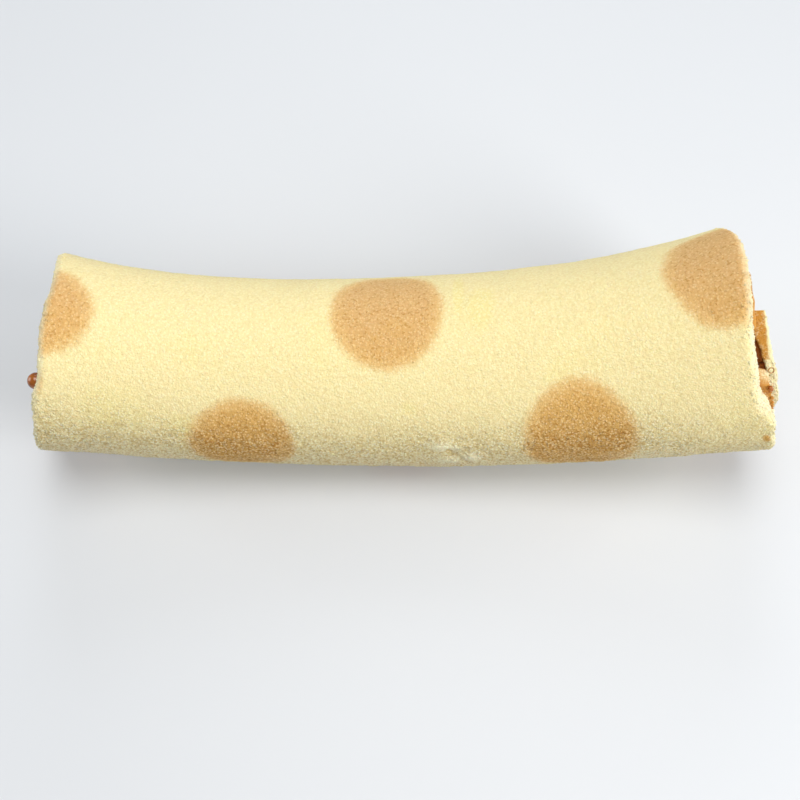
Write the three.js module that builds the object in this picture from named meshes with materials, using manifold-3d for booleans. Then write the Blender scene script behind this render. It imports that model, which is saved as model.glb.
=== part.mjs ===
// A swiss roll cake: one sponge sheet rolled up round a layer of amber jam.
// Millimetres, +X along the roll, +Y to its back, +Z up. It rests on a small flat
// spot under its middle, and both ends curve up off the surface.
//
// The sheet is followed inwards in turns: 0 at the seam, where its outer edge lies
// under the roll, and TURNS at the tip, curled up in the middle of the coil.

import * as THREE from 'three';
import { mergeVertices } from 'three/addons/utils/BufferGeometryUtils.js';
import Module from 'manifold-3d';

// The roll as a whole.
const HALF_LENGTH = 99;
const MID_RADIUS = 28;
const RADIUS_GROWTH = 2.1;
const LEFT_FLARE = 2.7;
const RIGHT_FLARE = 1.7;
const FLARE_POWER = 4;
const FLATTENING = 0.94;
const UNDERSIDE = 0.83;
const UNDERSIDE_SHARPNESS = 10;

// How the roll hangs: its ends stand higher than its middle, the right one most.
const SAG = 16.9;
const SAG_POWER = 2.25;
const RIGHT_LIFT = 1.5;
const REST_DEPTH = 0.9;

// The coil, measured where the roll is MID_RADIUS in radius. The sheet fills its
// middle but for a small eye.
const TURNS = 2 + 2 / 3;
const SHEET = 8.6;
const JAM = 1.3;
const GAP = 0.46;
const SEAM_ANGLE = THREE.MathUtils.degToRad(330);
const SEAM_THICKNESS = 2.4;
const SEAM_TAPER = 0.25;
const TUCK = 0.33;
const EYE = 0.6;
const COIL_SHIFT = 3;
const COIL_SHIFT_ANGLE = THREE.MathUtils.degToRad(240);

// The cut ends. A cut is a plane, moved along the axis and tilted by these lengths
// at the roll's radius, with waves of two and three crests round its rim.
const EDGE_ROUND = 2.4;
const LEFT_CUT = { ahead: -0.4, back: -1.8, top: 1.2, waves: [[0.7, 0.6]] };
const RIGHT_CUT = { ahead: -1, back: -0.3, top: 1.2, waves: [[-0.4, -1.2], [-1.8, -0.8]] };

// At the right end the second turn stands proud, from a step near its top round
// its front to its underside, and the jam that it wears stands proud half as far.
const PROUD = 3;
const PROUD_JAM = 1.6;
const PROUD_FROM = THREE.MathUtils.degToRad(90);
const PROUD_STEP = THREE.MathUtils.degToRad(10);
const PROUD_FADE_FROM = THREE.MathUtils.degToRad(110);
const PROUD_TO = THREE.MathUtils.degToRad(250);

// The jam stops short of the seam and stands a little out of both cuts. A drop of
// it hangs out of the left cut, on the front.
const JAM_BULGE = 0.6;
const DROP_RADIUS = 2.3;
const DROP_REACH = 3.6;
const DROP_BASE = 0.38;
const DROP_ANGLE = THREE.MathUtils.degToRad(135);

// Facets. Sheet and jam share their steps, so that the gap between them stays even.
const STEPS_PER_TURN = 36;
const JAM_SETBACK = 1 / STEPS_PER_TURN;
const STATIONS = 18;
const DROP_SIDES = 20;

const FULL_TURN = 2 * Math.PI;
const JAM_SPACE = JAM + 2 * GAP;
const HALF_HEIGHT = MID_RADIUS * FLATTENING;
const COIL_Y = COIL_SHIFT * Math.cos(COIL_SHIFT_ANGLE);
const COIL_Z = COIL_SHIFT * Math.sin(COIL_SHIFT_ANGLE);

const smooth = (t) => THREE.MathUtils.smoothstep(t, 0, 1);
const mix = THREE.MathUtils.lerp;

// The roll's radius at a place along it, from -1 at the left cut to 1 at the right.
function radiusAt(along) {
  const left = LEFT_FLARE * Math.max(0, -along) ** FLARE_POWER;
  const right = RIGHT_FLARE * Math.max(0, along) ** FLARE_POWER;
  return MID_RADIUS + RADIUS_GROWTH * along + left + right;
}

// The height of the roll's axis over its lowest point, and its slope there.
function hangAt(along) {
  const away = Math.abs(along);
  return {
    height: SAG * away ** SAG_POWER + RIGHT_LIFT * along,
    slope: Math.atan(
      (SAG * SAG_POWER * away ** (SAG_POWER - 1) * Math.sign(along) + RIGHT_LIFT) / HALF_LENGTH),
  };
}

// The direction in the section at a number of turns in from the seam: 0 is to the
// back, a quarter turn is up, half a turn is to the front.
const angleAt = (turns) => SEAM_ANGLE + FULL_TURN * turns;

// From the coil's centre to the ellipse that the roll's outline follows.
function ellipseAt(angle) {
  const y = Math.cos(angle);
  const z = Math.sin(angle);
  const a = (y / MID_RADIUS) ** 2 + (z / HALF_HEIGHT) ** 2;
  const b = (y * COIL_Y) / MID_RADIUS ** 2 + (z * COIL_Z) / HALF_HEIGHT ** 2;
  const c = (COIL_Y / MID_RADIUS) ** 2 + (COIL_Z / HALF_HEIGHT) ** 2 - 1;
  return (-b + Math.sqrt(b * b - a * c)) / a;
}

// A distance from the coil's centre, eased in to the flattened underside.
function flattened(distance, angle) {
  const down = -Math.sin(angle);
  if (down <= 0) return distance;
  const toUnderside = (UNDERSIDE * HALF_HEIGHT + COIL_Z) / down;
  const n = UNDERSIDE_SHARPNESS;
  return (distance ** -n + toUnderside ** -n) ** (-1 / n);
}

const thicknessAt = (turns) => mix(SEAM_THICKNESS, SHEET, smooth(turns / SEAM_TAPER));

// From the coil's centre to the sheet's outer face. The first turn follows the
// outline and tucks in under the seam, and each further turn lies in the last one.
function outerFaceAt(turns) {
  if (turns > 1) return innerFaceAt(turns - 1) - JAM_SPACE;
  const tuck = (SEAM_THICKNESS + JAM_SPACE) * smooth((turns - 1 + TUCK) / TUCK);
  return flattened(ellipseAt(angleAt(turns)) - tuck, angleAt(turns));
}

const innerFaceAt = (turns) => Math.max(EYE, outerFaceAt(turns) - thicknessAt(turns));

// How far a cut lies ahead of the roll's half length at a place in the section.
function cutAt(cut, angle, radius) {
  const reach = radius / MID_RADIUS;
  const tilt = cut.back * Math.cos(angle) + cut.top * Math.sin(angle);
  return cut.waves.reduce((sum, [c, s], i) => {
    const crests = i + 2;
    return sum + reach ** crests * (c * Math.cos(crests * angle) + s * Math.sin(crests * angle));
  }, cut.ahead + reach * tilt);
}

// 1 where the second turn stands fully proud of the right cut, and 0 where it doesn't.
function proudAt(turns) {
  const angle = angleAt(turns) - FULL_TURN * Math.floor(angleAt(turns) / FULL_TURN);
  const rise = smooth((angle - PROUD_FROM) / PROUD_STEP);
  const fade = 1 - smooth((angle - PROUD_FADE_FROM) / (PROUD_TO - PROUD_FADE_FROM));
  return rise * fade;
}

// Where the sheet or the jam ends, in mm along the axis from the middle.
function endsAt(turns, radius, proudBy, bulge) {
  const angle = angleAt(turns);
  return {
    left: -HALF_LENGTH + cutAt(LEFT_CUT, angle, radius) - bulge,
    right: HALF_LENGTH + cutAt(RIGHT_CUT, angle, radius) + proudBy * proudAt(turns) + bulge,
  };
}

// How far the section reaches below the roll's axis.
function depthOfSection() {
  const steps = Array.from({ length: STEPS_PER_TURN }, (_, i) => i / STEPS_PER_TURN);
  const depths = steps.map((turns) => -outerFaceAt(turns) * Math.sin(angleAt(turns)));
  return Math.max(...depths) - COIL_Z;
}

const AXIS_HEIGHT = depthOfSection() - REST_DEPTH;

// The point at a distance along the axis and a distance and angle round the coil's
// centre, both taken where the roll is MID_RADIUS in radius.
function placeInRoll(distance, angle, radius, target) {
  const along = distance / HALF_LENGTH;
  const scale = radiusAt(along) / MID_RADIUS;
  const { height, slope } = hangAt(along);
  const across = scale * (radius * Math.cos(angle) + COIL_Y);
  const up = scale * (radius * Math.sin(angle) + COIL_Z);
  return target.set(
    distance - up * Math.sin(slope), across, AXIS_HEIGHT + height + up * Math.cos(slope));
}

// Stations along the roll, 0 to 1, closest at the rounded edges of the cuts.
function stations() {
  const edge = [0, 0.35, 1].map((t) => (t * EDGE_ROUND) / (2 * HALF_LENGTH));
  const inner = STATIONS - 2 * (edge.length - 1);
  const last = edge[edge.length - 1];
  const middle = Array.from({ length: inner - 1 }, (_, i) => mix(last, 1 - last, (i + 1) / inner));
  return [...edge, ...middle, ...edge.map((t) => 1 - t).reverse()];
}

// How much the sheet's outer face is drawn in at a distance from a cut, so that the
// roll's edge is round.
function roundingAt(fromCut) {
  const t = Math.max(0, EDGE_ROUND - fromCut);
  return EDGE_ROUND - Math.sqrt(EDGE_ROUND ** 2 - t ** 2);
}

// A slab with a step for each station, bent round the coil and along the roll.
// place(station, face, turns, target) puts one of its corners.
function rolledSlab(firstTurn, lastTurn, place) {
  const steps = Math.round((lastTurn - firstTurn) * STEPS_PER_TURN);
  const along = stations();
  const slab = new THREE.BoxGeometry(1, 1, 1, STATIONS, 1, steps);
  slab.deleteAttribute('normal');
  slab.deleteAttribute('uv');
  const position = slab.attributes.position;
  const corner = new THREE.Vector3();
  for (let i = 0; i < position.count; i += 1) {
    const station = along[Math.round((position.getX(i) + 0.5) * STATIONS)];
    const face = position.getY(i) + 0.5;
    const turns = mix(firstTurn, lastTurn, position.getZ(i) + 0.5);
    place(station, face, turns, corner);
    position.setXYZ(i, corner.x, corner.y, corner.z);
  }
  return mergeVertices(slab, 1e-4);
}

// The sponge sheet. The spot that it rests on is flat at z = 0.
function spongeGeometry() {
  return rolledSlab(0, TURNS, (station, face, turns, target) => {
    const flush = face > 0.5 ? outerFaceAt(turns) : innerFaceAt(turns);
    const { left, right } = endsAt(turns, flush, turns > 1 ? PROUD : 0, 0);
    const distance = mix(left, right, station);
    const fromCut = Math.min(distance - left, right - distance);
    const skin = face > 0.5 ? 1 - smooth((turns - 1 + TUCK) / TUCK) : 0;
    const radius = flush - skin * roundingAt(fromCut);
    placeInRoll(distance, angleAt(turns), radius, target);
    target.z = Math.max(target.z, 0);
  });
}

// The jam between the turns, from a step in from the seam to over the tip.
function jamSheetGeometry() {
  return rolledSlab(JAM_SETBACK, TURNS - 1, (station, face, turns, target) => {
    const radius = innerFaceAt(turns) - GAP - (1 - face) * JAM;
    const { left, right } = endsAt(turns, radius, PROUD_JAM, JAM_BULGE);
    const distance = mix(left, right, station);
    placeInRoll(distance, angleAt(turns), radius, target);
  });
}

// A drop on a flat base, pointing squarely out of the left cut.
const LATHE_AXIS = new THREE.Vector3(0, 1, 0);

function dropGeometry() {
  const waist = DROP_REACH - DROP_RADIUS;
  const profile = [new THREE.Vector2(0, DROP_BASE)];
  const arcSteps = 8;
  const start = Math.asin((DROP_BASE - waist) / DROP_RADIUS);
  for (let i = 0; i <= arcSteps; i += 1) {
    const angle = mix(start, Math.PI / 2, i / arcSteps);
    profile.push(new THREE.Vector2(
      i === arcSteps ? 0 : DROP_RADIUS * Math.cos(angle), waist + DROP_RADIUS * Math.sin(angle)));
  }
  const drop = new THREE.LatheGeometry(profile, DROP_SIDES);
  const turns = (DROP_ANGLE - SEAM_ANGLE) / FULL_TURN + 1;
  const radius = innerFaceAt(turns) - JAM_SPACE / 2;
  const onCut = (turnsOn, further) => placeInRoll(
    endsAt(turns + turnsOn, radius + further, 0, 0).left,
    angleAt(turns + turnsOn), radius + further, new THREE.Vector3());
  const seat = onCut(0, 0);
  const around = onCut(1 / STEPS_PER_TURN, 0).sub(seat);
  const outwards = onCut(0, 1).sub(seat);
  const ahead = around.cross(outwards).normalize();
  drop.applyQuaternion(new THREE.Quaternion().setFromUnitVectors(LATHE_AXIS, ahead));
  drop.translate(seat.x, seat.y, seat.z);
  return drop;
}

const wasm = await Module();
wasm.setup();

function toSolid(geometry) {
  const bare = geometry.clone();
  bare.deleteAttribute('normal');
  bare.deleteAttribute('uv');
  const merged = mergeVertices(bare, 1e-4);
  return new wasm.Manifold(new wasm.Mesh({
    numProp: 3,
    vertProperties: new Float32Array(merged.attributes.position.array),
    triVerts: new Uint32Array(merged.index.array),
  }));
}

function toGeometry(solid) {
  const { vertProperties, triVerts } = solid.getMesh();
  const geometry = new THREE.BufferGeometry();
  geometry.setAttribute('position', new THREE.BufferAttribute(vertProperties, 3));
  geometry.setIndex(new THREE.BufferAttribute(triVerts, 1));
  geometry.computeVertexNormals();
  return geometry;
}

const spongeMaterial = new THREE.MeshStandardMaterial({
  color: 0xfaedb2, roughness: 0.9, metalness: 0,
});
const jamMaterial = new THREE.MeshStandardMaterial({
  color: 0xa8581c, roughness: 0.25, metalness: 0,
});

const sponge = new THREE.Mesh(spongeGeometry(), spongeMaterial);
sponge.name = 'sponge';
sponge.geometry.computeVertexNormals();

const filling = new THREE.Mesh(
  toGeometry(toSolid(jamSheetGeometry()).add(toSolid(dropGeometry()))), jamMaterial);
filling.name = 'filling';

// The roll stands with the middle of its box over the origin.
const roll = new THREE.Group();
roll.add(sponge, filling);
const box = new THREE.Box3().setFromObject(roll);
const middle = box.getCenter(new THREE.Vector3());
roll.position.set(-middle.x, -middle.y, -box.min.z);

export default roll;
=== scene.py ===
"""A swiss roll cake with tan spots baked into its skin, rolled up round amber jam.

The sheet is followed inwards in turns, from 0 at the seam under the roll's back to
its tip in the middle of the coil. In the section, angle 0 is to the back, a quarter
turn is up and half a turn is to the front. Along the roll, 0 is its middle.
"""

import itertools
import math

import bpy
import numpy as np
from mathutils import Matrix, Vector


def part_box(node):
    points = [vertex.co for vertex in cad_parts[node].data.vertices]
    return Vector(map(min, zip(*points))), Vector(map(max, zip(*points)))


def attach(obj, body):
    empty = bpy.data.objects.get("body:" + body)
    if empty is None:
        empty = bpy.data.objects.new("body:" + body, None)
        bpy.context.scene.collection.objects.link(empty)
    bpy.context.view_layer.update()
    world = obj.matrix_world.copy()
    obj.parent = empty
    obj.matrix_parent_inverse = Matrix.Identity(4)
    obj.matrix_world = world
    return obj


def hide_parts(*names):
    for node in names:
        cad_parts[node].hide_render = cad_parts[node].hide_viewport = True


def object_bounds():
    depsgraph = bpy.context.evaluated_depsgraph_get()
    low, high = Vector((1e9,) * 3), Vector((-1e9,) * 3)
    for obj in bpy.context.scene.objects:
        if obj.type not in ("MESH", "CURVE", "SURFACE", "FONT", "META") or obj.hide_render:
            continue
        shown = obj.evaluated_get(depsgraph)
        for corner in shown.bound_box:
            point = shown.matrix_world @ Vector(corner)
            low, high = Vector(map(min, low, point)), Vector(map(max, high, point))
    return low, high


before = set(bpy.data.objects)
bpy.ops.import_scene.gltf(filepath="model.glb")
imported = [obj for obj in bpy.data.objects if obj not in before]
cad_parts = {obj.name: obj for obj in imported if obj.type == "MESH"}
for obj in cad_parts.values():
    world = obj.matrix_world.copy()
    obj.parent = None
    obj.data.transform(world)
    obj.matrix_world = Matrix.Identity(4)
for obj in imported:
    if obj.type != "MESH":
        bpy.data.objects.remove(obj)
FRAME_LOW, FRAME_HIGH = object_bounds()
SPONGE_LOW, SPONGE_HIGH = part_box("sponge")

bl_info = {
    "name": "Swiss Roll",
    "version": (1, 0, 0),
    "blender": (4, 5, 0),
    "location": "View3D > Sidebar > Swiss Roll",
    "description": "Builds a spotted swiss roll cake round its solid model",
    "category": "Add Mesh",
}

MM = 0.001
FULL_TURN = 2 * math.pi

# The coil, in the part's own terms, where the roll has its middle radius, and the steps
# round and along it by which its height and its middle are found.
UNDERSIDE = 0.83
UNDERSIDE_SHARPNESS = 10
FLARE_POWER = 4
SAG_POWER = 2.25
REST_DEPTH = 0.9 * MM
SEAM_ANGLE = math.radians(330)
SEAM_THICKNESS = 2.4 * MM
SEAM_TAPER = 0.25
TUCK = 0.33
EYE = 0.6 * MM
COIL_SHIFT = 3 * MM
COIL_SHIFT_ANGLE = math.radians(240)
STEPS_ROUND = 361
STEPS_ALONG = 200
CLEARANCE = 0.46 * MM

# The sheet closes in on the jam by this length, and on the eye down to a pinhole, each
# over so much of a turn.
CLOSED = 0.42 * MM
CLOSED_OVER = 0.05
PINHOLE = 0.12 * MM
PINHOLE_OVER = 0.03

# The cuts: planes moved along the roll and tilted by these lengths at its radius,
# with waves of two and three crests round the rim.
EDGE_ROUND = 2.4 * MM
LOW_EDGE = math.radians(178)
LOW_EDGE_WIDTH = math.radians(30)
LEFT_CUT = {"ahead": -0.4, "back": -1.8, "top": 1.2, "waves": ((0.7, 0.6),)}
RIGHT_CUT = {"ahead": -1, "back": -0.3, "top": 1.2, "waves": ((-0.4, -1.2), (-1.8, -0.8))}

# The second turn stands proud of the right cut, from a step near its top round its
# front, and the jam on it stands proud half as far.
PROUD = 3 * MM
PROUD_FROM = math.radians(91)
PROUD_STEP = math.radians(2)
PROUD_FADE_FROM = math.radians(110)
PROUD_TO = math.radians(250)

# The first turn falls short of the right cut between these angles, eased in over the
# last one.
SHORT = 1.0 * MM
SHORT_FROM = math.radians(50)
SHORT_TO = math.radians(165)
SHORT_EASE = math.radians(30)

# Torn crumb at these angles: how much further out the first turn ends at the left and
# at the right, and the second turn at the right, less so towards the sheet's inner
# face, and a finer jaggedness of the rims.
TORN_ANGLES = np.radians((48, 60, 70, 85, 100, 122, 129, 136, 142, 150, 156, 162, 169, 185, 215))
TORN_LEFT = np.array((0, -0.4, -0.5, 0.3, 0.7, 0.2, 0, 0.9, 1.1, 0.9, 0.7, 0.6, 0.4, 0.1, 0)) * MM
TORN_RIGHT = np.array((0, 0, 0, 0, 0, 0, 0, -0.3, -0.8, -1.2, 0.4, 0.2, -0.9, -0.6, 0)) * MM
TORN_SECOND = np.array((0, 0, 0, 0, 0, 0.1, 0.3, 0.7, 0.8, 0.6, 0.6, 0.7, 0.8, 0.5, 0)) * MM
TORN_INSIDE = 0.4
JAGGED = 0.06 * MM

# Round the right cut, at these angles: how far the outer turn of jam stands out of
# the cut, and how much its edge is soaked crumb, or bare crumb that bridges the gap.
JAM_ANGLES = np.radians((0, 50, 62, 86, 91, 94, 105, 109, 130, 135, 139, 146, 149, 182, 240))
JAM_OUT = np.array((0.3, 0.7, 0.8, 0.6, 0.3, 0.2, 0.1, -2.2, -2.6, 0.2, 1.0, 1.0, 1.1, 0.8, 0.3)) * MM
JAM_SOAKED = np.array((0, 0.5, 0.5, 0.6, 0.8, 1, 1, 0.2, 0, 1, 1, 0.8, 0.8, 0.7, 0))
JAM_BARE = np.array((0, 0.3, 0.4, 0.3, 0, 0, 0, 0, 0, 0.5, 0.6, 0.3, 0, 0, 0))

# The proud turn's face is bare crumb along its edge, over a width that grows between
# these angles, and soaked beyond it.
BARE_FROM, BARE_TO = math.radians(95), math.radians(134)
BARE_WIDTHS = (0.4 * MM, 1.0 * MM)

# A crevice of deep jam under the first turn's edge: at these angles it starts so far
# in from the proud turn's edge. Its depth.
CREVICE_ANGLES = np.radians((106, 114, 120, 128, 136, 142, 148))
CREVICE_FROM = np.array((4.2, 3.1, 2.6, 2.4, 2.3, 3.0, 4.2)) * MM
CREVICE_DEPTH = 1.0 * MM

# Spots on the skin: the place of the middle along the roll, the girth from the seam
# to it, and half of the length and of the girth that it covers. They lie in rows,
# each half a pitch on from the last.
SPOTS = (
    (-46.0, 15.5, 15.2, 15.8), (49.0, 14.5, 15.4, 15.2),
    (-102.2, 60.8, 15.4, 14.0), (-1.9, 54.8, 16.3, 18.0), (96.0, 53.6, 17.4, 19.0),
    (-43.5, 96.2, 14.6, 14.6), (51.0, 95.0, 15.3, 18.2),
    (-96.0, 134.0, 16.0, 16.0), (2.0, 133.0, 16.2, 16.6), (94.0, 135.0, 15.6, 16.2),
)

# Jam on the skin, with one painted shadow among the stains, and yellower patches of it:
# the place along the roll, the angle, half of the length and of the girth, and the strength.
STAINS_AND_SHADOW = (
    (-97.6, 130.0, 1.5, 3.4, 0.50),
    (96.9, 170.0, 0.9, 1.8, 0.85),
    # A painted shadow: the small dark streak on the right rim.
    (98.8, 150.0, 0.3, 1.3, 0.50),
    (14.7, 164.2, 0.9, 1.2, 0.45),
)
YELLOWER = (
    (19.0, 66.0, 1.6, 7.0, 0.9), (25.5, 78.0, 4.5, 6.0, 0.7), (3.8, 134.0, 3.0, 2.5, 0.6),
    (-75.0, 140.0, 9.0, 6.0, 0.4), (-58.0, 146.0, 6.0, 4.0, 0.4),
)

# Relief as layers of noise, each a height and a size in millimetres, and a seed: the
# skin's swells, lumps and fine crumb, its crags where it is frayed, the torn crumb of
# a cut, which has pits too, and the unevenness of a spot's edge.
SKIN_RELIEF = ((0.28, 30, 1), (0.14, 10, 2), (0.05, 4, 3), (0.04, 1.6, 4), (0.04, 0.9, 5))
FRAYED_RELIEF = ((0.15, 1.9, 14), (0.12, 1.3, 15))
CUT_RELIEF = ((0.24, 4, 6), (0.14, 1.4, 8), (0.05, 0.8, 9))
PITS = (1, 1.9, 7)
PITS_DEPTH = 0.8 * MM
SPOT_EDGE = ((0.55, 8, 11), (0.30, 3, 12))

# The skin is frayed where 1 less its normal's rise is over the first number, in full
# after so much more. The steepness that the finish and the grains read is less toward
# the right cut, by this share, from where on, and over what length that comes in: the
# right end's lower side is smoother, with less painted shade than the left's.
FRAYED_FROM, FRAYED_OVER = 0.25, 0.6
SMOOTHER_AND_LESS_SHADED = 0.36
SMOOTHER_FROM = 66 * MM
SMOOTHER_OVER = 22 * MM

# A crease where the skin has cracked, as places along the roll and girths from the
# seam, with its depth and half width, and the lumps beside it and low in front: the
# place, the girth, half of the length and of the girth, and the height.
CREASE = ((14.6, 97.8), (16.2, 99.8), (17.8, 101.4), (18.8, 103.4), (19.9, 106.0))
CREASE_DEPTH = 0.55 * MM
CREASE_WIDTH = 0.75
LUMPS = (
    (20.6, 101.4, 2.2, 2.0, 0.95), (12.2, 95.9, 2.8, 1.7, 0.80), (16.6, 96.4, 1.8, 1.0, 0.55),
    (14.6, 103.4, 3.0, 2.2, 0.60), (-35.0, 103.5, 3.2, 1.6, 0.40), (60.0, 104.0, 3.5, 1.6, 0.40),
)


def length(name, description, default, **limits):
    """A length among the sizes that a user would change."""
    return bpy.props.FloatProperty(
        name=name, description=description, default=default, unit="LENGTH", **limits)


def colour(name, description, default):
    """A colour among those that a user would change."""
    return bpy.props.FloatVectorProperty(
        name=name, description=description, default=default, min=0, max=1, subtype="COLOR")


def power(name, description, default):
    """The power of a lamp, in watts."""
    return bpy.props.FloatProperty(
        name=name, description=description, default=default, min=0, unit="POWER")


class RollShape(bpy.types.PropertyGroup):
    """The roll's sizes."""

    half_length: length(
        "Half Length", "From the roll's middle to a cut, along its axis", 99 * MM, min=20 * MM)
    middle_radius: length(
        "Middle Radius", "The radius front to back in the roll's middle", 28 * MM, min=10 * MM)
    radius_growth: length(
        "Radius Growth", "How much the radius grows from middle to right cut", 2.1 * MM)
    left_flare: length(
        "Left Flare", "How much the radius flares near the left cut", 2.7 * MM)
    right_flare: length(
        "Right Flare", "How much the radius flares near the right cut", 1.7 * MM)
    flattening: bpy.props.FloatProperty(
        name="Flattening", description="The section's height over its depth",
        default=0.94, min=0.5, max=1.0, subtype="FACTOR")
    sag: length("Sag", "How far the ends stand over the middle", 16.9 * MM)
    right_lift: length("Right Lift", "How much further the right end is raised", 1.5 * MM)
    turns: bpy.props.FloatProperty(
        name="Turns", description="How many times the sheet goes round",
        default=8 / 3, min=1.5, max=4.0)
    sheet: length("Sheet", "The sponge sheet's thickness", 8.6 * MM)
    jam: length("Jam", "The jam layer's thickness", 1.3 * MM)


class RollLook(bpy.types.PropertyGroup):
    """The roll's colours and crumb."""

    sponge: colour("Sponge", "The skin between the spots", (0.93, 0.782, 0.40))
    sponge_deep: colour("Deep Sponge", "Yellower patches of the skin", (0.93, 0.79, 0.36))
    # The pore colours also carry painted shade, in the darker gaps down the sides and in the crease,
    # and the speck colours painted grazing light down the sides.
    sponge_pore_and_shade: colour("Sponge Pore", "Pores in the yellow skin", (0.68, 0.485, 0.185))
    sponge_speck_and_highlight: colour("Sponge Speck", "Light specks in the yellow skin", (1.0, 0.95, 0.68))
    spot: colour("Spot", "A spot on top of the roll", (0.78, 0.472, 0.19))
    # Painted light: the spot's colour where it faces the front, warmer and more orange as if lit
    # warmer there.
    spot_front_lit: colour("Low Spot", "A spot down the roll's side", (0.775, 0.455, 0.138))
    spot_rim: colour("Spot Rim", "A spot towards its edge", (0.89, 0.60, 0.24))
    # In the spots too, the pore colour carries painted shade and the speck colour painted grazing
    # light down the sides.
    spot_pore_and_shade: colour("Spot Pore", "Pores in a spot", (0.55, 0.25, 0.042))
    spot_speck_and_highlight: colour("Spot Speck", "Light specks in a spot", (0.96, 0.73, 0.39))
    # The underside's colour: partly pale fuzz, partly painted light reflected up from below, paler
    # and bluer.
    fuzz_and_reflected_light: colour("Fuzz", "Pale fuzz low on the roll's sides", (0.91, 0.785, 0.50))
    crumb: colour("Crumb", "The open crumb of the cuts", (0.95, 0.85, 0.54))
    caramel: colour("Caramel", "Sponge that the jam has soaked", (0.58, 0.27, 0.040))
    # Also the colour of one painted shadow, a dark streak on the right rim.
    stain: colour("Stain", "Skin that a drop of jam has stained", (0.74, 0.42, 0.10))
    jam: colour("Jam", "Jam where it is thin", (0.40, 0.12, 0.016))
    jam_deep: colour("Deep Jam", "Jam where it is thick", (0.20, 0.052, 0.006))
    relief: bpy.props.FloatProperty(
        name="Relief", description="How strongly the crumb shows in the mesh",
        default=1.0, min=0.0, max=3.0, subtype="FACTOR")
    grains: bpy.props.IntProperty(
        name="Grains", description="How many grains stand out of the frayed skin",
        default=20000, min=1, max=24500)
    crumbs: bpy.props.IntProperty(
        name="Crumbs", description="How many loose crumbs cling to each cut",
        default=1500, min=1, max=4500)


class RollStage(bpy.types.PropertyGroup):
    """The floor and the light."""

    floor: colour("Floor", "The floor's colour", (0.69, 0.695, 0.705))
    lamp_power: power("Lamp Power", "The power of the lamp overhead, in watts", 2.95)
    side_power: power("Side Power", "The power of the lamp at the right, in watts", 3.8)
    back_power: power("Back Power", "The power of the lamp at the back, in watts", 1.6)
    left_power: power("Left Power", "The power of the lamp off the left end, in watts", 2.0)
    right_power: power("Right Power", "The power of the lamp off the right end, in watts", 1.8)
    ambient: bpy.props.FloatProperty(
        name="Ambient", description="The strength of the light from all round",
        default=0.18, min=0)


def ease(t):
    """3 t^2 - 2 t^3 with t kept between 0 and 1."""
    t = np.clip(t, 0, 1)
    return t * t * (3 - 2 * t)


def mix(a, b, t):
    """a + (b - a) t."""
    return a + (b - a) * t


def noise(points, size, seed):
    """A smooth random field from -1 to 1: seeded random values on a cubic lattice
    whose cells have that size, blended by the eased place in the cell."""
    cells = 48
    table = np.random.default_rng(seed).uniform(-1, 1, (cells,) * 3)
    place = np.asarray(points) / size
    cell = np.floor(place).astype(int)
    weight = ease(place - cell)
    total = np.zeros(place.shape[:-1])
    for corner in itertools.product((0, 1), repeat=3):
        near = np.where(corner, weight, 1 - weight).prod(-1)
        at = (cell + corner) % cells
        total += near * table[at[..., 0], at[..., 1], at[..., 2]]
    return total


def layered(points, *layers):
    """The sum of layers of noise, with heights and sizes in millimetres."""
    return MM * sum(height * noise(points, size * MM, seed) for height, size, seed in layers)


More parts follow.
